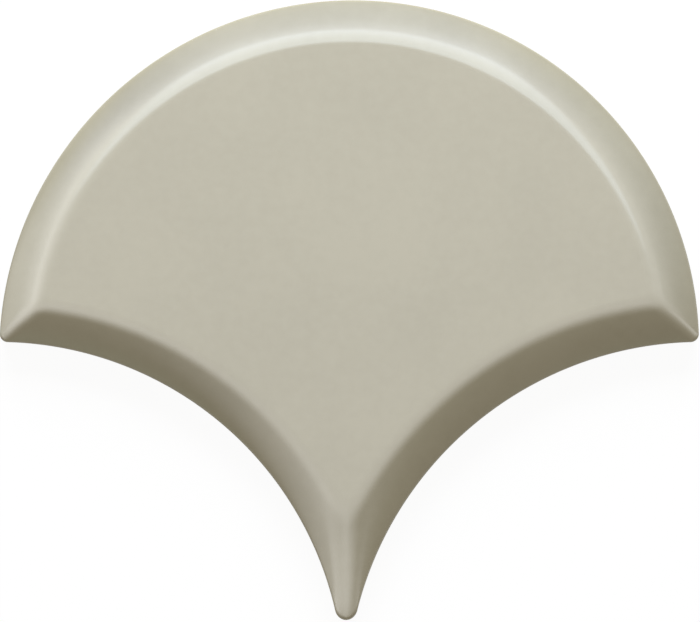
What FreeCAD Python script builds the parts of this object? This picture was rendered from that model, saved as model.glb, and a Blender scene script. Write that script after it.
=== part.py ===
import FreeCAD, Part
import math
import os

import Sketcher

# A pressed and glazed wall tile in the fish scale shape: a round top, two hollow bays
# that take the round tops of the tiles below it, and a blunt tip. A broad bevel with
# soft ridges runs round the flat face, and the back is ribbed to key into the adhesive.
# The tile lies on its back with the face up. The origin is the centre of the round
# top, in the plane of the back. All sizes are in millimetres.
SIZES = {
    "shell_radius": 75.0,  # round top, and the bays that take a neighbour's round top
    "tip_reach": 57.85,  # centre of the round top down to the end of the tip
    "tip_radius": 2.4,  # in plan
    "shoulder_rise": 3.4,  # centre of the round top up to the centres of the shoulders
    "shoulder_radius": 1.7,  # in plan
    "thickness": 9.5,  # back to face
    "bevel_width": 7.8,  # edge to ridge, in plan
    "bevel_drop": 3.6,  # ridge to edge, in height
    "ridge_radius": 3.2,  # where the bevel turns into the face or into the next bevel
    "rim_radius": 0.6,  # where the bevel turns down into the side
    "arris": 0.5,  # chamfer round the back
    "border_width": 5.0,  # raised border of the back
    "key_depth": 0.8,  # recesses of the back
    "rib_width": 2.4,
    "rib_pitch": 15.0,
}
START, END, CENTRE = 1, 2, 3  # the points of a line or an arc, as constraints count them
ROOT = (-1, 1)  # the origin point of a sketch
UPRIGHT_AXIS = (-2,)  # the vertical axis of a sketch
ORIGIN = FreeCAD.Vector(0, 0, 0)

document = FreeCAD.newDocument("fish_scale_tile")
sizes = document.addObject("Spreadsheet::Sheet", "Sizes")
for row, (size_name, size_value) in enumerate(SIZES.items(), start=1):
    sizes.set(f"A{row}", size_name)
    sizes.set(f"B{row}", str(size_value))
    sizes.setAlias(f"B{row}", size_name)
document.recompute()
body = document.addObject("PartDesign::Body", "fish_scale_tile")


def origin_plane(role):
    return next(feature for feature in body.Origin.OriginFeatures if feature.Role == role)


def add_sketch(name, plane):
    sketch = body.newObject("Sketcher::SketchObject", name)
    sketch.AttachmentSupport = [(origin_plane(plane), "")]
    sketch.MapMode = "FlatFace"
    return sketch


def constrain(sketch, kind, *elements):
    return sketch.addConstraint(Sketcher.Constraint(kind, *elements))


def bind(sketch, name, expression, kind, *elements):
    """Adds one dimension to a sketch under a name and ties it to an expression."""
    value = float(sketch.evalExpression(expression))
    sketch.renameConstraint(constrain(sketch, kind, *elements, value), name)
    sketch.setExpression(f"Constraints.{name}", expression)


def measure(sketch, name, kind, *elements):
    """Adds one dimension to a sketch that only measures, so that other expressions can read it."""
    index = constrain(sketch, kind, *elements, 1.0)
    sketch.setDriving(index, False)
    sketch.renameConstraint(index, name)


def add_feature(kind, name, **settings):
    """Adds one feature on top of the body. A setting that is text is an expression."""
    feature = body.newObject(f"PartDesign::{kind}", name)
    for setting, value in settings.items():
        if isinstance(value, str):
            feature.setExpression(setting, value)
        else:
            setattr(feature, setting, value)
    body.Tip = feature
    document.recompute()
    return feature


def meeting_point(first, first_distance, second, second_distance):
    """The point at these distances from two others, on the right of the way from first to second."""
    way = second - first
    forward = way / way.Length
    along = (first_distance**2 - second_distance**2 + way.Length**2) / (2 * way.Length)
    across = math.sqrt(first_distance**2 - along**2)
    return first + forward * along + FreeCAD.Vector(forward.y, -forward.x, 0) * across


def right_bay_centre():
    """Each bay has the round top's radius and touches the tip and a shoulder from outside."""
    tip = FreeCAD.Vector(0, sizes.tip_radius - sizes.tip_reach, 0)
    shoulder_x = math.sqrt((sizes.shell_radius - sizes.shoulder_radius) ** 2 - sizes.shoulder_rise**2)
    shoulder = FreeCAD.Vector(shoulder_x, sizes.shoulder_rise, 0)
    to_tip = sizes.shell_radius + sizes.tip_radius
    to_shoulder = sizes.shell_radius + sizes.shoulder_radius
    return meeting_point(tip, to_tip, shoulder, to_shoulder)


def tip_centre(inset):
    """The centre of the tip's arc in the curve that lies inset inside the tile's edge."""
    bay = right_bay_centre()
    to_bay = sizes.shell_radius + inset + sizes.tip_radius
    return FreeCAD.Vector(0, bay.y + math.sqrt(to_bay**2 - bay.x**2), 0)


def scale_curve(name, inset_expression):
    """The closed fish scale curve of six tangent arcs, inset from the tile's edge, not yet placed."""
    sketch = add_sketch(name, "XY_Plane")
    inset = float(sketch.evalExpression(inset_expression))
    shell = sizes.shell_radius - inset
    hollow = sizes.shell_radius + inset
    corner = sizes.shoulder_radius
    right_bay = right_bay_centre()
    left_bay = FreeCAD.Vector(-right_bay.x, right_bay.y, 0)
    tip = tip_centre(inset)
    right_corner = meeting_point(right_bay, hollow + corner, ORIGIN, shell - corner)
    left_corner = FreeCAD.Vector(-right_corner.x, right_corner.y, 0)

    def arc(centre, radius, *sight_lines):
        """An arc between two directions, each given as a line of sight from one point to another."""
        angles = [math.atan2(there.y - here.y, there.x - here.x) for here, there in sight_lines]
        return Part.ArcOfCircle(Part.Circle(centre, FreeCAD.Vector(0, 0, 1), radius), *angles)

    arcs = {
        "round_top": arc(ORIGIN, shell, (ORIGIN, right_corner), (ORIGIN, left_corner)),
        "left_shoulder": arc(left_corner, corner, (ORIGIN, left_corner), (left_corner, left_bay)),
        "left_hollow": arc(left_bay, hollow, (left_bay, tip), (left_bay, left_corner)),
        "tip": arc(tip, sizes.tip_radius, (tip, left_bay), (tip, right_bay)),
        "right_hollow": arc(right_bay, hollow, (right_bay, right_corner), (right_bay, tip)),
        "right_shoulder": arc(right_corner, corner, (right_corner, right_bay), (ORIGIN, right_corner)),
    }
    curve = dict(zip(arcs, sketch.addGeometry(list(arcs.values()))))
    for first, first_end, second, second_end in (
        ("round_top", END, "left_shoulder", START),
        ("left_shoulder", END, "left_hollow", END),
        ("left_hollow", START, "tip", START),
        ("tip", END, "right_hollow", END),
        ("right_hollow", START, "right_shoulder", START),
        ("right_shoulder", END, "round_top", START),
    ):
        constrain(sketch, "Tangent", curve[first], first_end, curve[second], second_end)
    constrain(sketch, "Coincident", curve["round_top"], CENTRE, *ROOT)
    constrain(sketch, "Equal", curve["left_hollow"], curve["right_hollow"])
    constrain(sketch, "Equal", curve["left_shoulder"], curve["right_shoulder"])
    bind(sketch, "shell", f"Sizes.shell_radius - {inset_expression}", "Radius", curve["round_top"])
    bind(sketch, "hollow", f"Sizes.shell_radius + {inset_expression}", "Radius", curve["left_hollow"])
    bind(sketch, "shoulder", "Sizes.shoulder_radius", "Radius", curve["left_shoulder"])
    bind(sketch, "tip", "Sizes.tip_radius", "Radius", curve["tip"])
    return sketch, curve


def tile_outline():
    """The tile's edge, placed by its tip and shoulders. It measures where the bays' centres come."""
    sketch, curve = scale_curve("outline", "0")
    constrain(sketch, "PointOnObject", curve["tip"], CENTRE, *UPRIGHT_AXIS)
    bind(sketch, "reach", "Sizes.tip_reach - Sizes.tip_radius", "DistanceY", curve["tip"], CENTRE, *ROOT)
    for side in ("left_shoulder", "right_shoulder"):
        bind(sketch, f"{side}_rise", "Sizes.shoulder_rise", "DistanceY", *ROOT, curve[side], CENTRE)
    measure(sketch, "bay_offset", "DistanceX", *ROOT, curve["right_hollow"], CENTRE)
    measure(sketch, "bay_drop", "DistanceY", curve["right_hollow"], CENTRE, *ROOT)
    document.recompute()
    return sketch


BAY_OFFSET = "(outline.Constraints.bay_offset / 1 mm)"
BAY_DROP = "(outline.Constraints.bay_drop / 1 mm)"


def field_outline():
    """The inner edge of the back's border, round the same centres as the tile's edge."""
    sketch, curve = scale_curve("field_outline", "Sizes.border_width")
    bind(sketch, "left_offset", BAY_OFFSET, "DistanceX", curve["left_hollow"], CENTRE, *ROOT)
    bind(sketch, "left_drop", BAY_DROP, "DistanceY", curve["left_hollow"], CENTRE, *ROOT)
    bind(sketch, "right_offset", BAY_OFFSET, "DistanceX", *ROOT, curve["right_hollow"], CENTRE)
    bind(sketch, "right_drop", BAY_DROP, "DistanceY", curve["right_hollow"], CENTRE, *ROOT)
    return sketch


def bevel_section(name, inward):
    """The triangle that a bevel's groove turns about the sketch's upright axis.

    Its slope is the bevel, run on by one bevel at each end so that it leaves the tile cleanly.
    The tile lies on the side of its edge that inward names, "+" away from the axis or "-" towards it.
    """
    sketch = add_sketch(name, "XZ_Plane")
    outward = "-" if inward == "+" else "+"
    outer_x = f"Sizes.shell_radius {outward} Sizes.bevel_width"
    inner_x = f"Sizes.shell_radius {inward} 2 * Sizes.bevel_width"
    low_z = "Sizes.thickness - 2 * Sizes.bevel_drop"
    high_z = "Sizes.thickness + Sizes.bevel_drop"
    outer, inner, low, high = (float(sketch.evalExpression(at)) for at in (outer_x, inner_x, low_z, high_z))
    foot = FreeCAD.Vector(outer, low, 0)
    crest = FreeCAD.Vector(inner, high, 0)
    clear = FreeCAD.Vector(outer, high, 0)
    slope, level, upright = sketch.addGeometry(
        [Part.LineSegment(foot, crest), Part.LineSegment(crest, clear), Part.LineSegment(clear, foot)]
    )
    constrain(sketch, "Coincident", slope, END, level, START)
    constrain(sketch, "Coincident", level, END, upright, START)
    constrain(sketch, "Coincident", upright, END, slope, START)
    constrain(sketch, "Horizontal", level)
    constrain(sketch, "Vertical", upright)
    bind(sketch, "outer", outer_x, "DistanceX", *ROOT, slope, START)
    bind(sketch, "inner", inner_x, "DistanceX", *ROOT, slope, END)
    bind(sketch, "low", low_z, "DistanceY", *ROOT, slope, START)
    bind(sketch, "high", high_z, "DistanceY", *ROOT, slope, END)
    return sketch


def rib_plan(name, ribs):
    """Rectangles in the plane of the back, each given by expressions for its four sides."""
    sketch = add_sketch(name, "XY_Plane")
    for number, sides in enumerate(ribs):
        left, right, bottom, top = (float(sketch.evalExpression(side)) for side in sides)
        corners = [
            FreeCAD.Vector(left, bottom, 0),
            FreeCAD.Vector(right, bottom, 0),
            FreeCAD.Vector(right, top, 0),
            FreeCAD.Vector(left, top, 0),
        ]
        lines = sketch.addGeometry(
            [Part.LineSegment(corners[side], corners[(side + 1) % 4]) for side in range(4)]
        )
        for side, kind in enumerate(("Horizontal", "Vertical", "Horizontal", "Vertical")):
            constrain(sketch, "Coincident", lines[side], END, lines[(side + 1) % 4], START)
            constrain(sketch, kind, lines[side])
        bind(sketch, f"left_{number}", sides[0], "DistanceX", *ROOT, lines[0], START)
        bind(sketch, f"right_{number}", sides[1], "DistanceX", *ROOT, lines[2], START)
        bind(sketch, f"bottom_{number}", sides[2], "DistanceY", *ROOT, lines[0], START)
        bind(sketch, f"top_{number}", sides[3], "DistanceY", *ROOT, lines[2], START)
    return sketch


# Each rib ends half way across the border of the back.
SHELL_END = "(Sizes.shell_radius - Sizes.border_width / 2)"
HOLLOW_END = "(Sizes.shell_radius + Sizes.border_width / 2)"


def rib_edges(number):
    """The two long sides of the rib that stands a number of pitches from the origin."""
    return [f"{number} * Sizes.rib_pitch {sign} Sizes.rib_width / 2" for sign in "-+"]


def upright_rib(number):
    """From the bay's side of the border up to the round top's side."""
    bottom = f"sqrt({HOLLOW_END}^2 - ({BAY_OFFSET} - {abs(number)} * Sizes.rib_pitch)^2) - {BAY_DROP}"
    top = f"sqrt({SHELL_END}^2 - ({number} * Sizes.rib_pitch)^2)"
    return [*rib_edges(number), bottom, top]


def level_rib(number):
    """Between the two sides of the round top, or lower down between the two bays."""
    half_length = f"sqrt({SHELL_END}^2 - ({number} * Sizes.rib_pitch)^2)"
    if number <= 0:
        half_length = f"({BAY_OFFSET} - sqrt({HOLLOW_END}^2 - ({number} * Sizes.rib_pitch + {BAY_DROP})^2))"
    return [f"-{half_length}", half_length, *rib_edges(number)]


def edge_names(feature, edges):
    numbered = enumerate(feature.Shape.Edges, start=1)
    return [f"Edge{number}" for number, edge in numbered if any(edge.isSame(other) for other in edges)]


def side_edges(feature):
    """The edges of the upright sides, which are the cylinders about upright axes."""
    round_faces = [face for face in feature.Shape.Faces if isinstance(face.Surface, Part.Cylinder)]
    return [edge for face in round_faces if abs(face.Surface.Axis.z) > 0.9 for edge in face.Edges]


slab = add_feature("Pad", "slab", Profile=tile_outline(), Length="Sizes.thickness")

top_section = bevel_section("top_section", "-")
top_bevel = add_feature(
    "Groove", "top_bevel", Profile=top_section, ReferenceAxis=(top_section, ["V_Axis"]), Angle=360
)
bay_section = bevel_section("bay_section", "+")
bay_section.setExpression("AttachmentOffset.Base.x", "outline.Constraints.bay_offset")
bay_section.setExpression("AttachmentOffset.Base.z", "outline.Constraints.bay_drop")
bay_bevel = add_feature(
    "Groove", "bay_bevel", Profile=bay_section, ReferenceAxis=(bay_section, ["V_Axis"]), Angle=360
)
bevels = add_feature(
    "Mirrored", "bevels", Originals=[bay_bevel], MirrorPlane=(origin_plane("YZ_Plane"), [""])
)

# One radius softens the ridges round the face and the mitres where two bevels meet.
# Both end at the face and stay above the tile's edge.
TOUCH = 1e-3
face_level = sizes.thickness
edge_level = sizes.thickness - sizes.bevel_drop
sharp = [
    edge
    for edge in bevels.Shape.Edges
    if edge.BoundBox.ZMax > face_level - TOUCH and edge.BoundBox.ZMin > edge_level + TOUCH
]
ridges = add_feature(
    "Fillet", "ridges", Base=(bevels, edge_names(bevels, sharp)), Radius="Sizes.ridge_radius"
)
upper = [edge for edge in side_edges(ridges) if edge.BoundBox.ZMin > edge_level - TOUCH]
rim = add_feature("Fillet", "rim", Base=(ridges, edge_names(ridges, upper)), Radius="Sizes.rim_radius")
lower = [edge for edge in side_edges(rim) if edge.BoundBox.ZMax < TOUCH]
back_arris = add_feature("Chamfer", "back_arris", Base=(rim, edge_names(rim, lower)), Size="Sizes.arris")

# The back is sunk inside a raised border, and the ribs stand in it level with the border.
field = add_feature("Pocket", "field", Profile=field_outline(), Length="Sizes.key_depth", Reversed=True)
field_reach = sizes.tip_radius - tip_centre(sizes.border_width).y
ribs_up = int((sizes.shell_radius - sizes.border_width - sizes.rib_width) / sizes.rib_pitch)
ribs_down = int((field_reach - sizes.rib_width) / sizes.rib_pitch)
upright_plan = rib_plan("upright_plan", [upright_rib(number) for number in range(-ribs_up, ribs_up + 1)])
upright_ribs = add_feature("Pad", "upright_ribs", Profile=upright_plan, Length="Sizes.key_depth")
level_plan = rib_plan("level_plan", [level_rib(number) for number in range(-ribs_down, ribs_up + 1)])
level_ribs = add_feature("Pad", "level_ribs", Profile=level_plan, Length="Sizes.key_depth")

# Each cut takes clay away and each rib adds some back.
cuts = [slab, top_bevel, bay_bevel, bevels, ridges, rim, back_arris, field]
volumes = [feature.Shape.Volume for feature in cuts]
assert all(after < before for before, after in zip(volumes, volumes[1:])), volumes
assert field.Shape.Volume < upright_ribs.Shape.Volume < level_ribs.Shape.Volume < back_arris.Shape.Volume
for thing in document.Objects:
    assert not {"Invalid", "Error"} & set(thing.State), (thing.Name, thing.State)
    if thing.isDerivedFrom("PartDesign::Feature") or thing.isDerivedFrom("Sketcher::SketchObject"):
        assert not thing.Shape.isNull() and thing.Shape.isValid(), thing.Name
assert body.Shape.isValid() and len(body.Shape.Solids) == 1

os.makedirs("parts", exist_ok=True)
body.Label = "fish_scale_tile"
body.Shape.exportStep(f"parts/{body.Label}.step")
box = body.Shape.optimalBoundingBox()
print(f"{body.Label}: {box.XLength:.2f} x {box.YLength:.2f} x {box.ZLength:.2f} mm")
print(f"{len(body.Shape.Faces)} faces, {body.Shape.Volume / 1000:.1f} cm3")
print(f"bay centres {right_bay_centre().x:.2f} mm out and {-right_bay_centre().y:.2f} mm down")
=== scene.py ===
# %% [markdown]
# # Fish scale wall tile
# A fish scale tile is one pressed piece of clay: a round top, two hollow bays that take the neighbouring
# tiles, and a blunt tip. A soft bevel runs round the flat face. The front is dipped in glaze, and the back
# is left bare for the adhesive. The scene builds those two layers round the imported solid, as numpy surfaces,
# then lights them for a view from straight above.

import bpy
import numpy as np
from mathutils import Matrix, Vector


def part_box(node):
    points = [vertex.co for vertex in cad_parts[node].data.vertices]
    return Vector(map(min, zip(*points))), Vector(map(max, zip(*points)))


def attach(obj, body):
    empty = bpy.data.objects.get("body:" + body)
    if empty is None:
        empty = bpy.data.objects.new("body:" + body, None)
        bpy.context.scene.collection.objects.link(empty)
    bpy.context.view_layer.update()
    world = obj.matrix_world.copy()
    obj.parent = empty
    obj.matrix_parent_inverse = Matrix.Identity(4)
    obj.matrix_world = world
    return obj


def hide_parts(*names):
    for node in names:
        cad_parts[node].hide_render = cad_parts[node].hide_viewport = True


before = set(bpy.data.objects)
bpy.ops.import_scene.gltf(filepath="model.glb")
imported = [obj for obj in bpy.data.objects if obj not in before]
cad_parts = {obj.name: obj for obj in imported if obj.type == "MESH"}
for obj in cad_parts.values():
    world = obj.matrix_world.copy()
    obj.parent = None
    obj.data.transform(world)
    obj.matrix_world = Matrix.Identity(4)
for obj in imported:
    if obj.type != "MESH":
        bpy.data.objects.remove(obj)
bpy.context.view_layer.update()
tile_low, tile_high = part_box("fish_scale_tile")
print("tile from", list(tile_low), "to", list(tile_high))

# %% [markdown]
# The driving sizes come from the frame where the solid gives them: the radius of the round top, the reach
# of the tip below it and the thickness. The rest are the tile maker's own sizes, in metres, and the finer
# ones follow in the cells that need them. The bays have the radius of the round top, because each one takes
# the round top of another tile.

# %% Driving sizes
MM = 0.001
shell_radius = tile_high[1]
tip_reach = -tile_low[1]
thickness = tile_high[2]
tip_radius = 2.4 * MM
shoulder_radius = 1.7 * MM
shoulder_rise = 3.4 * MM
bevel_width = 10.15 * MM
bevel_drop = 3.6 * MM
rim_radius = 0.6 * MM
print(f"radius {shell_radius / MM:.2f} mm, tip reach {tip_reach / MM:.2f} mm")
print(f"thickness {thickness / MM:.2f} mm, bevel {bevel_width / MM:.2f} mm wide")


# %% [markdown]
# The outline is six tangent arcs. A bay touches the nose of the tip and the small arc of a shoulder, both
# from outside. That gives the distance from the bay's centre to two known centres, so it is where two
# circles cross, on the side away from the tile.

# %% Where the bays' centres are
def crossing(first, first_radius, second, second_radius):
    """The points where two circles cross, on the right of the way from the first centre to the second.

    The crossing lies (r1^2 - r2^2 + d^2) / 2d along the way between the centres, d apart, and by Pythagoras
    the rest of the first radius to the side of it.
    """
    way = second - first
    apart = np.hypot(*way)
    forward = way / apart
    along = (first_radius**2 - second_radius**2 + apart**2) / (2 * apart)
    across = np.sqrt(first_radius**2 - along**2)
    return first + along * forward + across * np.array([forward[1], -forward[0]])


nose = np.array([0.0, tip_radius - tip_reach])
corner = np.array([np.sqrt((shell_radius - shoulder_radius) ** 2 - shoulder_rise**2), shoulder_rise])
right_bay = crossing(nose, shell_radius + tip_radius, corner, shell_radius + shoulder_radius)
left_bay = right_bay * [-1, 1]
top_centre = np.zeros(2)
print("bay centres at", (right_bay / MM).round(2), "and", (left_bay / MM).round(2), "mm")


# %% [markdown]
# Every level of the tile is the same outline, set in by some distance: the round top shrinks, the bays grow,
# and two bevels meet in a mitre. Press and glaze leave that mitre soft. Corners drawn as arcs would show as
# bands with hard sides, because an arc starts to bend at once. So a corner is drawn by its distances from
# the two sides that it joins. One grows with a power of the way along the corner, a little over the square,
# as the other falls, so the turn begins and ends gently. At the rim the corners are round, and their widths
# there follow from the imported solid.

# %% Soft corners
CORNER_POINTS = 22
mitre_power = 2.4
tip_mitre = 3.5 * MM  # the tip's corner where it reaches the face
tip_swell = 5.0 * MM  # how much wider it is half way up the bevel
tip_run = 0.7 * MM  # how soon it leaves the round form of the rim
shoulder_mitre = 2.0 * MM
shoulder_swell = 1.5 * MM
shoulder_run = 1.8 * MM
shoulder_fullness = 1.06  # wider than the solid's corner, which keeps the shoulders inside its box


def round_way(share, turn):
    """How far along the arc of a round corner the distance from a side has come, from 0 to 1."""
    return (1 - np.cos(turn * share)) / (1 - np.cos(turn))


def soft_corner(inset, turn, at_rim, at_face, swell, run):
    """Distances of a corner's points from the side before it and from the side after it.

    They are inset + width x way. The way is that of a round corner at the rim, and goes over to
    share^mitre_power by an exponential of the inset. For the side after the corner it runs backwards.
    The width changes evenly from the rim to the face, plus a parabola that peaks half way.
    """
    share = np.arange(CORNER_POINTS + 1) / CORNER_POINTS
    reach = np.clip(inset / bevel_width, 0, 1)
    fade = np.exp(-inset / run)
    gentle = share**mitre_power
    way = gentle + (round_way(share, turn) - gentle) * fade
    width = at_rim + (at_face - at_rim) * reach + 4 * swell * reach * (1 - reach)
    return (inset + width * way)[..., None], (inset + width * way[:, ::-1])[..., None]


top_end = np.array([tile_high[0], np.sqrt(shell_radius**2 - tile_high[0] ** 2)])
shoulder_turn = np.pi / 2
shoulder_rim = shoulder_fullness * (np.hypot(*(top_end - right_bay)) - shell_radius)
tip_end = np.array([0, -tip_reach])
tip_turn = np.pi - 2 * np.arctan2(nose[1] - right_bay[1], right_bay[0])
tip_rim = (np.hypot(*(tip_end - right_bay)) - shell_radius) / round_way(0.5, tip_turn)
print(f"corners at the rim: shoulder {shoulder_rim / MM:.2f} mm, tip {tip_rim / MM:.2f} mm")

# %% Rings of the outline
TOP_POINTS = 168
BAY_POINTS = 80


def arc(centre, start, end, count):
    """Points about a centre from the start to just before the end, at even steps of the angle."""
    first = np.arctan2(start[:, 1] - centre[1], start[:, 0] - centre[0])[:, None]
    last = np.arctan2(end[:, 1] - centre[1], end[:, 0] - centre[0])[:, None]
    radius = np.hypot(*(start - centre).T)[:, None]
    turn = first + (last - first) * np.arange(count) / count
    return np.stack([centre[0] + radius * np.cos(turn), centre[1] + radius * np.sin(turn)], axis=-1)


def scale_rings(inset):
    """Rings of the outline, one for each inset, counterclockwise from the right: rings x points x 2.

    The round top is an arc of radius R - inset, and the bays are arcs of radius R + inset. A corner's point
    is where the circles at its two distances cross.
    """
    inset = np.atleast_1d(np.asarray(inset, float))[:, None]
    before, after = soft_corner(
        inset, shoulder_turn, shoulder_rim, shoulder_mitre, shoulder_swell, shoulder_run
    )
    left = crossing(top_centre, shell_radius - before, left_bay, shell_radius + after)
    right = left[:, ::-1] * [-1, 1]
    before, after = soft_corner(inset, tip_turn, tip_rim, tip_mitre, tip_swell, tip_run)
    tip = crossing(right_bay, shell_radius + after, left_bay, shell_radius + before)
    return np.concatenate([
        arc(top_centre, right[:, -1], left[:, 0], TOP_POINTS), left[:, :-1],
        arc(left_bay, left[:, -1], tip[:, 0], BAY_POINTS), tip[:, :-1],
        arc(right_bay, tip[:, -1], right[:, 0], BAY_POINTS), right[:, :-1],
    ], axis=1)


outline = scale_rings(0.0)[0]
outline_width, outline_height = np.ptp(outline, axis=0) / MM
print(f"outline {outline_width:.2f} x {outline_height:.2f} mm, {len(outline)} points")


# %% [markdown]
# The section is what the press die and the glaze give: a side, a small round at the rim, and a bevel that
# grows flatter all the way to the face. A straight bevel and a fillet would be the quick way, but melted
# glaze draws back from edges and fills hollows, and the light on the tile shows a long soft arch. So the
# slope is written down as straight lines between a few places, and the height is its running sum.

# %% The section of the front
RIM_POINTS = 7
bevel_places = np.array([0.0, 1.5 * MM, 6.4 * MM, 9.15 * MM, bevel_width])
bevel_slopes = np.array([0.56, 0.49, 0.365, 0.11, 0.0])
points_between = (8, 9, 8, 12)


def front_section():
    """Inset and height from the rim to the flat face.

    The slope runs in straight lines between the given places, scaled so that the bevel drops by its given
    height. Adding it up, by trapezia, gives the height. A small arc joins the bevel to the upright side.
    """
    spans = zip(bevel_places[:-1], bevel_places[1:], points_between)
    steps = [np.linspace(start, end, count)[:-1] for start, end, count in spans]
    inset = np.concatenate([*steps, bevel_places[-1:]])
    slope = np.interp(inset, bevel_places, bevel_slopes)
    climb = np.concatenate([[0], np.cumsum(np.diff(inset) * (slope[1:] + slope[:-1]) / 2)])
    scale = bevel_drop / climb[-1]
    height = thickness - bevel_drop + scale * climb
    tilt = np.arctan(scale * slope[0])
    rim_end = rim_radius * (1 - np.sin(tilt))
    rim_top = np.interp(rim_end, inset, height)
    beyond = inset > rim_end
    turn = np.linspace(0, np.pi / 2 - tilt, RIM_POINTS)
    rim_inset = rim_radius * (1 - np.cos(turn))
    rim_height = rim_top - rim_radius * np.cos(tilt) + rim_radius * np.sin(turn)
    return np.concatenate([rim_inset, inset[beyond]]), np.concatenate([rim_height, height[beyond]])


section_inset, section_height = front_section()
print(f"rim round starts {section_height[0] / MM:.2f} mm up, face at {section_height[-1] / MM:.2f} mm")


# %% [markdown]
# No pressed tile is quite true. On this one the outline leans sideways, and the face lies a little off the
# middle and a little turned, all within a millimetre. A perfect outline would put the tip and the bevel's
# lines beside those of the photograph. So every ring leans about the level of the shoulders, which keeps the
# tile's width, and it drifts and turns as the bevel climbs.

# %% A tile that is a little off true
lean = 0.0112
face_drift = np.array([-0.4, 0.4]) * MM
face_turn = np.radians(0.36)


def lifted(inset, height):
    """Rings at the given insets, each at its height: rings x points x 3.

    Each point moves sideways by lean x its height above the shoulders' level. Then it drifts and turns about
    the origin by the share of the bevel's drop that its ring has climbed.
    """
    flat = scale_rings(inset)
    flat[..., 0] += lean * (flat[..., 1] - shoulder_rise)
    level = np.broadcast_to(np.asarray(height)[:, None], flat.shape[:2])
    climbed = np.clip(1 - (thickness - level) / bevel_drop, 0, 1)[..., None]
    turned = np.stack([-flat[..., 1], flat[..., 0]], axis=-1)
    return np.concatenate([flat + climbed * (face_drift + face_turn * turned), level[..., None]], axis=-1)


def face_rings(edge_ring, pole, shares):
    """Flat rings between a pole and the edge of the face: pole + share x (edge - pole)."""
    return pole + np.asarray(shares)[:, None, None] * (edge_ring - pole)


print(f"the tip leans {lean * (tip_reach + shoulder_rise) / MM:.2f} mm to the left")


# %% [markdown]
# A ring surface becomes a mesh in one step: quads between neighbouring rings, and a fan to a single point
# at each end, so that the shell is closed. The rings run from the middle of the front, over the edge and
# back under, which makes every face point outwards.

# %% From rings to a mesh
def ring_shell(name, rings, first_pole, last_pole=None):
    """Mesh of a surface of rings x points x 3, closed by fans.

    A pole is joined to the first ring and, if a second one is given, to the last ring.
    """
    count, size = rings.shape[:2]
    poles = [first_pole] if last_pole is None else [first_pole, last_pole]
    points = np.concatenate([rings.reshape(-1, 3), poles])
    ring, here = np.meshgrid(np.arange(count - 1) * size, np.arange(size), indexing="ij")
    after = (here + 1) % size
    quads = np.stack([ring + here, ring + size + here, ring + size + after, ring + after], -1).reshape(-1, 4)
    here = np.arange(size)
    after = (here + 1) % size
    faces = quads.tolist() + np.stack([np.full(size, count * size), here, after], -1).tolist()
    if last_pole is not None:
        end = (count - 1) * size
        faces += np.stack([end + here, np.full(size, count * size + 1), end + after], -1).tolist()
    mesh = bpy.data.meshes.new(name)
    mesh.from_pydata(points.tolist(), [], faces)
    mesh.shade_smooth()
    piece = bpy.data.objects.new(name, mesh)
    bpy.context.collection.objects.link(piece)
    print(name, len(points), "points,", len(mesh.polygons), "faces, faults mended:", mesh.validate())
    return piece


# %% [markdown]
# The glaze is a thin glass coat. It covers the front, runs over the rim and down the side, and stops at an
# uneven line a little above the back, where the tile was wiped before firing. A coat painted on as a colour
# would lose that lip, so the coat is a closed shell with its own thickness: an outer skin, a round lip and
# an inner skin set in along the section's normal.

# %% The glaze coat
FACE_SHARES = [0.02, 0.08, 0.2, 0.4, 0.6, 0.8, 0.93, 0.985]
SIDE_RINGS = 8
LIP_TURNS = np.radians([25, 50, 75, 105, 130, 155])
INNER_WOBBLE = np.array([1, 0.6, 0.2])  # how much of the wobble reaches the rings behind the lip
middle_y = 20 * MM
glaze_thickness = 0.30 * MM
glaze_line = 1.45 * MM
glaze_wobble = 0.28 * MM


def set_in(inset, height, depth):
    """The section moved along its own inward normal by a depth."""
    run = np.gradient(inset)
    climb = np.gradient(height)
    length = np.hypot(run, climb)
    return inset + depth * climb / length, height - depth * run / length


def wavy_line(points, reach):
    """Height wobble along the outline: a few sine waves of whole periods, added and scaled to a reach."""
    turn = 2 * np.pi * np.arange(points) / points
    wave = np.sin(5 * turn + 0.4) + 0.7 * np.sin(11 * turn + 2.1) + 0.4 * np.sin(23 * turn + 4.0)
    wave = wave + 0.25 * np.sin(41 * turn + 1.3)
    return reach * wave / np.abs(wave).max()


def glaze_rings():
    """Outer skin from the middle of the face to the lip, then the inner skin back to the middle.

    The lip is half an ellipse, as wide and as deep as the coat is thick. The wobble grows with the square of
    the way down the side.
    """
    outer = lifted(section_inset[::-1], section_height[::-1])
    pole = np.array([0, middle_y, thickness])
    face = face_rings(outer[0], pole, FACE_SHARES)
    lip_top = glaze_line + glaze_thickness
    side = lifted(np.zeros(SIDE_RINGS), np.linspace(section_height[0], lip_top, SIDE_RINGS + 1)[1:])
    lip_inset = glaze_thickness / 2 * (1 - np.cos(LIP_TURNS))
    lip = lifted(lip_inset, lip_top - glaze_thickness * np.sin(LIP_TURNS))
    inner_inset, inner_height = set_in(section_inset, section_height, glaze_thickness)
    inner_count = len(INNER_WOBBLE)
    inner_levels = np.linspace(lip_top, inner_height[0], inner_count + 1)[:-1]
    inner_side = lifted(np.full(inner_count, glaze_thickness), inner_levels)
    inner = lifted(inner_inset[::2], inner_height[::2])
    under = pole - [0, 0, glaze_thickness]
    inner_face = face_rings(inner[-1], under, FACE_SHARES[::-2])
    wobble = wavy_line(outer.shape[1], glaze_wobble)
    side[..., 2] += np.linspace(0, 1, SIDE_RINGS)[:, None] ** 2 * wobble
    lip[..., 2] += wobble
    inner_side[..., 2] += INNER_WOBBLE[:, None] * wobble
    return np.concatenate([face, outer, side, lip, inner_side, inner, inner_face]), pole, under


glaze = ring_shell("glaze_coat", *glaze_rings())


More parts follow.
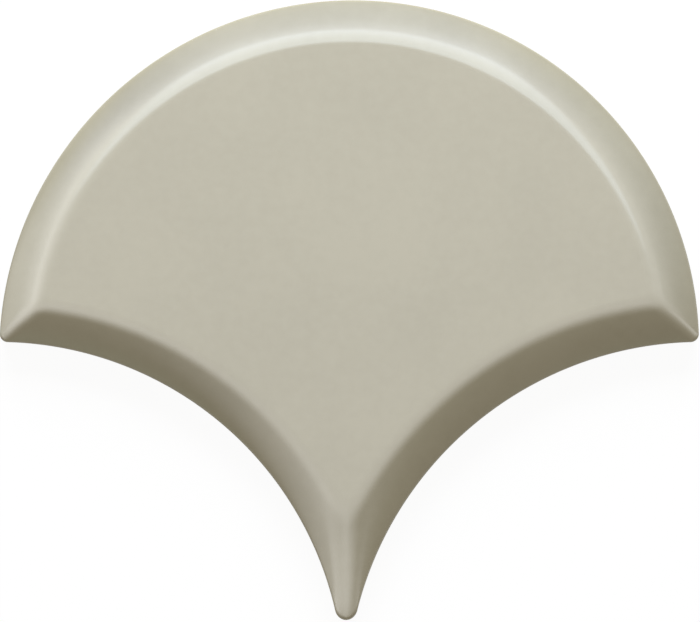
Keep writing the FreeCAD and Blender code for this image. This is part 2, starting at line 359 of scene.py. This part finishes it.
# %% [markdown]
# The clay body fills the coat. Its skin lies half way into the glaze, so no two surfaces coincide, and it
# shows only below the glaze line and on the back. The back has a small arris, a flat border that rests on
# the wall, and a shallow recess for the adhesive.

# %% The clay body
clay_depth = 0.16 * MM
arris = 0.5 * MM
border_width = 5.0 * MM
border_slope = 0.35 * MM
key_depth = 0.8 * MM
round_off = 0.12 * MM


def clay_rings():
    """Front skin under the glaze, side, arris, border and recess, each a ring at an inset and a height."""
    inset, height = set_in(section_inset, section_height, clay_depth)
    front = lifted(inset[::-2], height[::-2])
    pole = np.array([0, middle_y, height[-1]])
    face = face_rings(front[0], pole, FACE_SHARES[::2])
    back_section = np.array([
        (clay_depth, 3.2 * MM),
        (clay_depth, 1.6 * MM),
        (clay_depth, arris + round_off),
        (clay_depth + 0.3 * round_off, arris),
        (clay_depth + arris - round_off, 0.3 * round_off),
        (clay_depth + arris + round_off, 0.0),
        (0.5 * border_width, 0.0),
        (border_width - border_slope - round_off, 0.0),
        (border_width - border_slope + round_off, 0.5 * round_off),
        (border_width - round_off, key_depth - 0.5 * round_off),
        (border_width + round_off, key_depth),
        (border_width + 3 * round_off, key_depth),
    ])
    side = lifted(back_section[:, 0], back_section[:, 1])
    under = np.array([0, middle_y, key_depth])
    recess = face_rings(side[-1], under, [0.95, 0.8, 0.5, 0.2])
    return np.concatenate([face, front, side, recess]), pole, under


clay = ring_shell("clay_body", *clay_rings())


# %% [markdown]
# The press leaves a grid of low ribs in the recess, so that the adhesive keys in. Each rib is a rounded bar:
# one cross section carried along a straight path, closed at both ends, and sunk into the floor and the
# border. The upright and the level ribs differ by a few hundredths of a millimetre, so that they cross
# cleanly.

# %% One keying rib
RIB_STATIONS = 9
rib_width = 2.4 * MM
rib_across = np.array([-1.12, -1.0, -0.9, -0.75, 0.0, 0.75, 0.9, 1.0, 1.12]) * (rib_width / 2)
rib_depth = np.array([1.5, 0.3, 0.08, 0.0, 0.0, 0.0, 0.08, 0.3, 1.5]) * key_depth


def rib_mesh(start, end, crest):
    """Points, side faces and end faces of one bar: a round-shouldered section carried from start to end.

    A point is start + along x run + across x side, at the section's depth above the rib's crest.
    """
    along = np.linspace(0, 1, RIB_STATIONS)[:, None]
    run = end - start
    side = np.array([-run[1], run[0]]) / np.hypot(*run)
    flat = start + along[:, None] * run + rib_across[:, None] * side
    level = np.broadcast_to((rib_depth + crest)[:, None], flat.shape[:2] + (1,))
    size = len(rib_across)
    last = (RIB_STATIONS - 1) * size
    row, here = np.meshgrid(np.arange(0, last, size), np.arange(size), indexing="ij")
    after = (here + 1) % size
    sides = np.stack([row + here, row + after, row + size + after, row + size + here], -1).reshape(-1, 4)
    ends = np.stack([np.arange(size)[::-1], np.arange(last, last + size)])
    return np.concatenate([flat, level], -1).reshape(-1, 3), sides, ends


print(f"a rib is {rib_width / MM:.1f} mm wide, {RIB_STATIONS * len(rib_across)} points")

# %% The grid of ribs
rib_pitch = 15.0 * MM
rib_sink = 2.2 * MM
upright_places = np.arange(-4, 5) * rib_pitch
level_places = np.arange(-2, 5) * rib_pitch
upright_crest = 0.03 * MM
level_crest = 0.05 * MM


def rib_paths():
    """Centre lines of the ribs: each runs across the recess and a little way into the border."""
    field = shell_radius - border_width
    hollow = shell_radius + border_width
    paths = []
    for x in upright_places:
        low = right_bay[1] + np.sqrt(hollow**2 - (right_bay[0] - abs(x)) ** 2) - rib_sink
        high = np.sqrt(field**2 - x**2) + rib_sink
        paths.append((np.array([x, low]), np.array([x, high]), upright_crest))
    for y in level_places:
        reach = np.sqrt(field**2 - y**2)
        if y < right_bay[1] + hollow:
            reach = min(reach, right_bay[0] - np.sqrt(hollow**2 - (y - right_bay[1]) ** 2))
        paths.append((np.array([-reach - rib_sink, y]), np.array([reach + rib_sink, y]), level_crest))
    return paths


rib_points, rib_faces = [], []
for start, end, crest in rib_paths():
    bar_points, bar_sides, bar_ends = rib_mesh(start, end, crest)
    first = len(rib_points) * len(bar_points)
    rib_faces += (bar_sides + first).tolist() + (bar_ends + first).tolist()
    rib_points.append(bar_points)
rib_data = bpy.data.meshes.new("keying_ribs")
rib_data.from_pydata(np.concatenate(rib_points).tolist(), [], rib_faces)
ribs = bpy.data.objects.new("keying_ribs", rib_data)
bpy.context.collection.objects.link(ribs)
print(len(rib_points), "ribs,", len(rib_data.polygons), "faces, faults mended:", rib_data.validate())


# %% [markdown]
# Two finishes. Colours are written as sRGB hex and turned to linear by one function, and one small function
# adds a node with its settings and links.

# %% Helpers for materials
def linear(code):
    """An sRGB hex colour as linear RGBA."""
    value = np.array([int(code[i : i + 2], 16) for i in (1, 3, 5)]) / 255
    value = np.where(value <= 0.04045, value / 12.92, ((value + 0.055) / 1.055) ** 2.4)
    return (*value.tolist(), 1.0)


def add(tree, kind, inputs=None, **settings):
    """Adds a node, sets its settings, and gives each named input a value or a link."""
    made = tree.nodes.new(kind)
    for name, value in settings.items():
        setattr(made, name, value)
    for name, value in (inputs or {}).items():
        if isinstance(value, bpy.types.NodeSocket):
            tree.links.new(value, made.inputs[name])
        else:
            made.inputs[name].default_value = value
    return made


def new_material(name):
    """A material with an empty node tree."""
    made = bpy.data.materials.new(name)
    made.use_nodes = True
    made.node_tree.nodes.clear()
    return made, made.node_tree


print("white is", linear("#FFFFFF"))


# %% [markdown]
# The glaze is a tin-white glaze tinted to a warm grey, fired glossy. The eye gets three things from it: a
# mirror reflection that is weak face on, a soft unevenness of the colour where the coat is a little thicker
# or thinner, and a slow waviness of the reflection, with a finer orange peel. Glass of this kind has an IOR
# near 1.6 and a roughness near 0.1.

# %% Glossy greige glaze
cloud_size = 26 * MM
fleck_size = 2.4 * MM
wave_size = 18 * MM
wave_depth = 0.03 * MM
peel_size = 1.7 * MM
peel_depth = 0.0015 * MM


def greige_glaze():
    """Mottled base colour, slightly uneven gloss, and a bump of slow waves and fine orange peel."""
    made, tree = new_material("greige_glazed_earthenware")
    place = add(tree, "ShaderNodeTexCoord").outputs["Object"]
    cloud = add(tree, "ShaderNodeTexNoise", {"Vector": place, "Scale": 1 / cloud_size, "Detail": 3.0})
    fleck = add(tree, "ShaderNodeTexNoise", {"Vector": place, "Scale": 1 / fleck_size, "Detail": 2.0})
    blend = add(tree, "ShaderNodeMix", {"Factor": 0.3, "A": cloud.outputs["Fac"], "B": fleck.outputs["Fac"]})
    colour = add(tree, "ShaderNodeValToRGB", {"Fac": blend.outputs["Result"]})
    colour.color_ramp.elements[0].position = 0.35
    colour.color_ramp.elements[0].color = linear("#ADA68E")
    colour.color_ramp.elements[1].position = 0.65
    colour.color_ramp.elements[1].color = linear("#B3AC94")
    gloss = add(tree, "ShaderNodeMapRange", {
        "Value": cloud.outputs["Fac"],
        "To Min": 0.075,
        "To Max": 0.115,
    })
    wave = add(tree, "ShaderNodeTexNoise", {"Vector": place, "Scale": 1 / wave_size, "Detail": 1.0})
    peel = add(tree, "ShaderNodeTexNoise", {"Vector": place, "Scale": 1 / peel_size, "Detail": 1.0})
    slow = add(tree, "ShaderNodeBump", {
        "Height": wave.outputs["Fac"],
        "Strength": 1.0,
        "Distance": wave_depth,
    })
    fine = add(tree, "ShaderNodeBump", {
        "Height": peel.outputs["Fac"],
        "Strength": 1.0,
        "Distance": peel_depth,
        "Normal": slow.outputs["Normal"],
    })
    skin = add(tree, "ShaderNodeBsdfPrincipled", {
        "Base Color": colour.outputs["Color"],
        "Roughness": gloss.outputs["Result"],
        "Normal": fine.outputs["Normal"],
        "IOR": 1.6,
    })
    add(tree, "ShaderNodeOutputMaterial", {"Surface": skin.outputs["BSDF"]})
    return made


glaze.data.materials.append(greige_glaze())
print("glaze:", len(glaze.data.materials[0].node_tree.nodes), "nodes")


# %% [markdown]
# The body is bare fired earthenware: a buff clay, pressed from dry powder. It is matte, a little dusty, and
# full of fine grog, which shows as dark specks a fraction of a millimetre wide.

# %% Bare buff biscuit
clay_cloud_size = 20 * MM
grog_size = 0.9 * MM
grog_depth = 0.03 * MM


def buff_biscuit():
    """Clouded buff colour with grog specks, no gloss, and a fine gritty bump."""
    made, tree = new_material("buff_biscuit_earthenware")
    place = add(tree, "ShaderNodeTexCoord").outputs["Object"]
    cloud = add(tree, "ShaderNodeTexNoise", {"Vector": place, "Scale": 1 / clay_cloud_size, "Detail": 4.0})
    grog = add(tree, "ShaderNodeTexNoise", {"Vector": place, "Scale": 1 / grog_size, "Detail": 2.0})
    colour = add(tree, "ShaderNodeValToRGB", {"Fac": cloud.outputs["Fac"]})
    colour.color_ramp.elements[0].position = 0.3
    colour.color_ramp.elements[0].color = linear("#D2BDA2")
    colour.color_ramp.elements[1].position = 0.7
    colour.color_ramp.elements[1].color = linear("#E0CFB8")
    speck = add(tree, "ShaderNodeMapRange", {
        "Value": grog.outputs["Fac"],
        "From Min": 0.66,
        "From Max": 0.74,
    })
    dotted = add(tree, "ShaderNodeMix", {
        "Factor": speck.outputs["Result"],
        "A": colour.outputs["Color"],
        "B": linear("#A98C6E"),
    }, data_type="RGBA")
    grit = add(tree, "ShaderNodeBump", {
        "Height": grog.outputs["Fac"],
        "Strength": 0.6,
        "Distance": grog_depth,
    })
    skin = add(tree, "ShaderNodeBsdfPrincipled", {
        "Base Color": dotted.outputs["Result"],
        "Normal": grit.outputs["Normal"],
        "Roughness": 0.9,
        "IOR": 1.5,
    })
    add(tree, "ShaderNodeOutputMaterial", {"Surface": skin.outputs["BSDF"]})
    return made


biscuit = buff_biscuit()
clay.data.materials.append(biscuit)
ribs.data.materials.append(biscuit)
print("biscuit:", len(biscuit.node_tree.nodes), "nodes")

# %% [markdown]
# All three pieces are one fired tile, so they ride on the one body and stand for its one solid.

# %% Pieces on the frame
for piece, finish in ((glaze, "glaze"), (clay, "biscuit"), (ribs, "biscuit")):
    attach(piece, "root")
    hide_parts("fish_scale_tile")
print("pieces ride on root")


# %% [markdown]
# The studio. The tile lies on a pale floor, which the camera and the glaze see as white but which keeps a
# faint shadow. A floor that is only lit would need so much light to be white that the tile would burn out,
# so for those rays most of its white is a glow, and a little is lit.

# %% Floor
def pale_floor():
    """Pale diffuse floor; camera, glossy and transmission rays see most of it as plain white."""
    made, tree = new_material("pale_floor")
    path = add(tree, "ShaderNodeLightPath").outputs
    seen = add(tree, "ShaderNodeMath", {
        0: path["Is Camera Ray"],
        1: path["Is Glossy Ray"],
    }, operation="MAXIMUM")
    seen = add(tree, "ShaderNodeMath", {
        0: seen.outputs[0],
        1: path["Is Transmission Ray"],
    }, operation="MAXIMUM")
    plain = add(tree, "ShaderNodeBsdfDiffuse", {"Color": linear("#E6E4DF")})
    shade = add(tree, "ShaderNodeBsdfDiffuse", {"Color": linear("#505050")})
    white = add(tree, "ShaderNodeEmission", {"Color": linear("#FFFFFF"), "Strength": 0.94})
    lit = add(tree, "ShaderNodeAddShader", {0: shade.outputs[0], 1: white.outputs[0]})
    both = add(tree, "ShaderNodeMixShader", {0: seen.outputs[0], 1: plain.outputs[0], 2: lit.outputs[0]})
    add(tree, "ShaderNodeOutputMaterial", {"Surface": both.outputs[0]})
    return made


floor_half = 2.5
floor_corners = floor_half * np.array([(-1, -1, 0), (1, -1, 0), (1, 1, 0), (-1, 1, 0)])
floor_data = bpy.data.meshes.new("floor")
floor_data.from_pydata(floor_corners.tolist(), [], [(0, 1, 2, 3)])
floor = bpy.data.objects.new("floor", floor_data)
floor_data.materials.append(pale_floor())
bpy.context.collection.objects.link(floor)
print("floor", 2 * floor_half, "m wide")

# %% [markdown]
# The world fills the shadows with a little warm light from all round. The camera sees it as white, like the
# floor, so that no horizon shows in the lower views.

# %% World
fill_colour = (1.0, 0.91, 0.82, 1.0)
fill_strength = 0.34
world = bpy.data.worlds.new("studio")
bpy.context.scene.world = world
world.use_nodes = True
sky = world.node_tree
sky.nodes.clear()
sky_path = add(sky, "ShaderNodeLightPath").outputs
dim = add(sky, "ShaderNodeBackground", {"Color": fill_colour, "Strength": fill_strength})
bright = add(sky, "ShaderNodeBackground", {"Color": linear("#FFFFFF"), "Strength": 1.0})
sky_mix = add(sky, "ShaderNodeMixShader", {
    0: sky_path["Is Camera Ray"],
    1: dim.outputs[0],
    2: bright.outputs[0],
})
add(sky, "ShaderNodeOutputWorld", {"Surface": sky_mix.outputs[0]})
print("fill light", fill_strength)


# %% [markdown]
# The glaze is a mirror, so what it shows is the studio. Makers' photographs of glossy tiles are taken in a
# tent of white cloth, brighter where a lamp stands behind it. Lamps alone would give hard patches, and a
# picture of a studio isn't at hand. So the tent is a dome round the tile whose glow depends on the direction
# alone. It shows in reflections only, and the soft lamp does the lighting.

# %% The tent's glow
PANEL_GLOW = 2.8 * np.array([1.0, 1.0, 1.0])
SOFTBOX_GLOW = 2.62 * np.array([0.84, 1.0, 1.16])
LEFT_GLOW = 2.6 * np.array([1.0, 1.0, 1.0])
RIGHT_GLOW = 2.8 * np.array([1.0, 1.0, 1.0])
BACK_GLOW = 1.5 * np.array([0.82, 1.0, 1.36])
FRONT_GLOW = 0.5 * np.array([0.9, 1.15, 0.9])
WINDOW_GLOW = 0.7 * np.array([0.0, 0.15, 1.0])
ROOM_GLOW = 0.8 * np.array([1.0, 1.0, 1.0])


def edge(value, start, end):
    """0 before start, 1 after end, and a smooth step between."""
    share = np.clip((value - start) / (end - start), 0, 1)
    return share * share * (3 - 2 * share)


def tent_glow(x, y):
    """Glow of the cloth towards (x, y), the place on a flat ceiling one unit above the tile.

    It is a sum of soft patches, each a colour times smooth steps at the patch's sides. The numbers are the
    places of those sides on the ceiling. A round panel hangs overhead, and is cut off above the tip. A
    softbox stands beyond the round top, with a cool window behind it. Walls of cloth stand on the left, on
    the right, at the back and at the front, dimmer further out, and the room glows faintly round them all.
    """
    left = np.maximum(-x, 0)
    right = np.maximum(x, 0)
    away = np.hypot(x, y)
    panel_end = -0.857 + 0.20 * left + 0.45 * right
    panel = (1 - edge(np.hypot(x + 0.063, y), 0.73, 1.373)) * edge(y, panel_end, panel_end + 0.527)
    panel = panel * (1 + 0.38 * (1 - edge(np.hypot(0.5 * x + 0.08, y + 0.36), 0.0, 0.36)))
    near = 0.165 + 0.117 * left - 0.15 * right
    softbox = edge(x, -0.674, -0.352) * (1 - edge(x, 0.375, 0.615)) * edge(y, near, near + 0.12)
    softbox = softbox * (1 - 0.5 * edge(y, 0.82, 0.95) - 0.5 * edge(y, 0.80, 1.25))
    window = edge(y, 0.4, 0.9) * (1 - edge(away, 1.7, 2.4)) * (1 - edge(np.abs(x + 0.3), 0.6, 1.3))
    far = 1 - 0.7 * edge(away, 1.7, 2.7)
    left_wall = edge(left - 0.15 * np.maximum(y, 0), 0.20, 0.85)
    left_wall = left_wall * edge(y, -1.15, -0.45) * (1 - edge(y, 0.4, 1.1)) * far
    right_wall = edge(right, 0.5, 0.95) * edge(y, -0.674, -0.221) * (1 - edge(y, -0.30, -0.10)) * far
    back = edge(y, -0.6, 1.2) * (1 + 0.136 * np.clip(x, -1.5, 1.5)) * (1 - 0.7 * edge(away, 0.95, 2.0))
    front = edge(-y, 0.9, 1.5) * far
    room = edge(away, 1.6, 3.0)
    patches = (
        (panel, PANEL_GLOW), (softbox, SOFTBOX_GLOW), (window, WINDOW_GLOW), (left_wall, LEFT_GLOW),
        (right_wall, RIGHT_GLOW), (back, BACK_GLOW), (front, FRONT_GLOW), (room, ROOM_GLOW),
    )
    return sum(patch[..., None] * colour for patch, colour in patches)


straight_up = tent_glow(np.zeros(1), np.zeros(1))
print("glow straight up", straight_up.round(2))

# %% The tent
tent_radius = 3.0
tilt_steps = np.radians(np.arange(1, 89))
turn_steps = np.radians(np.arange(0, 360, 2))
tilts, turns = np.meshgrid(tilt_steps, turn_steps, indexing="ij")
dome = np.stack([np.sin(tilts) * np.cos(turns), np.sin(tilts) * np.sin(turns), np.cos(tilts)], -1)
dome_glow = tent_glow(dome[..., 0] / dome[..., 2], dome[..., 1] / dome[..., 2]).reshape(-1, 3)
glow = np.concatenate([dome_glow, straight_up])
tent = ring_shell("tent", tent_radius * dome, (0.0, 0.0, tent_radius))
glow_data = tent.data.attributes.new("glow", "FLOAT_COLOR", "POINT")
glow_data.data.foreach_set("color", np.column_stack([glow, np.ones(len(glow))]).ravel())
cloth, cloth_tree = new_material("tent_cloth")
cloth_glow = add(cloth_tree, "ShaderNodeAttribute", attribute_name="glow")
cloth_light = add(cloth_tree, "ShaderNodeEmission", {"Color": cloth_glow.outputs["Color"]})
add(cloth_tree, "ShaderNodeOutputMaterial", {"Surface": cloth_light.outputs[0]})
cloth.cycles.emission_sampling = "NONE"
tent.data.materials.append(cloth)
tent.visible_camera = False
tent.visible_diffuse = False
tent.visible_shadow = False
print(f"tent glow {glow.min():.2f} to {glow.max():.2f}")

# %% [markdown]
# The light that falls on the tile comes from one soft lamp beyond the round top, so the bevel there is the
# lightest and the bays are the darkest. A sun would light every bevel of one direction alike, but its
# shadow would be hard. The lamp is hidden from reflections, because the tent's softbox stands for it there.

# %% The lamp beyond the round top
lamp_tilt = np.radians(62.5)
lamp_turn = np.radians(1.0)
lamp_away = 0.8
lamp_data = bpy.data.lights.new("soft_lamp", "AREA")
lamp_data.shape = "RECTANGLE"
lamp_data.size = 0.70
lamp_data.size_y = 0.46
lamp_data.energy = 8.5
lamp_data.color = (0.93, 1.0, 1.07)
lamp = bpy.data.objects.new("soft_lamp", lamp_data)
lamp_level = np.sin(lamp_tilt)
lamp_way = np.array([-np.sin(lamp_turn) * lamp_level, np.cos(lamp_turn) * lamp_level, np.cos(lamp_tilt)])
lamp.location = lamp_away * lamp_way
lamp.rotation_euler = (-lamp_tilt, 0, lamp_turn)
lamp.visible_glossy = False
lamp.visible_camera = False
bpy.context.collection.objects.link(lamp)
print("lamp", lamp_data.energy, "W")

# %% [markdown]
# The photograph looks straight at the tile, which fills the frame. A long lens a metre away keeps the
# perspective as slight as it is there. The lens follows from the width that the frame takes in at the rim.

# %% Camera
camera_height = 1.0
frame_width = 149.96 * MM
rim_height = thickness - bevel_drop
aim = (0.15 * MM, 8.39 * MM)
camera_data = bpy.data.cameras.new("camera")
camera_data.sensor_width = 36.0
camera_data.lens = camera_data.sensor_width * (camera_height - rim_height) / frame_width
camera = bpy.data.objects.new("camera", camera_data)
camera.location = (*aim, camera_height)
camera.rotation_euler = (0, 0, 0)
bpy.context.collection.objects.link(camera)
bpy.context.scene.camera = camera
bpy.context.scene.view_settings.view_transform = "Standard"
print(f"lens {camera_data.lens:.0f} mm")
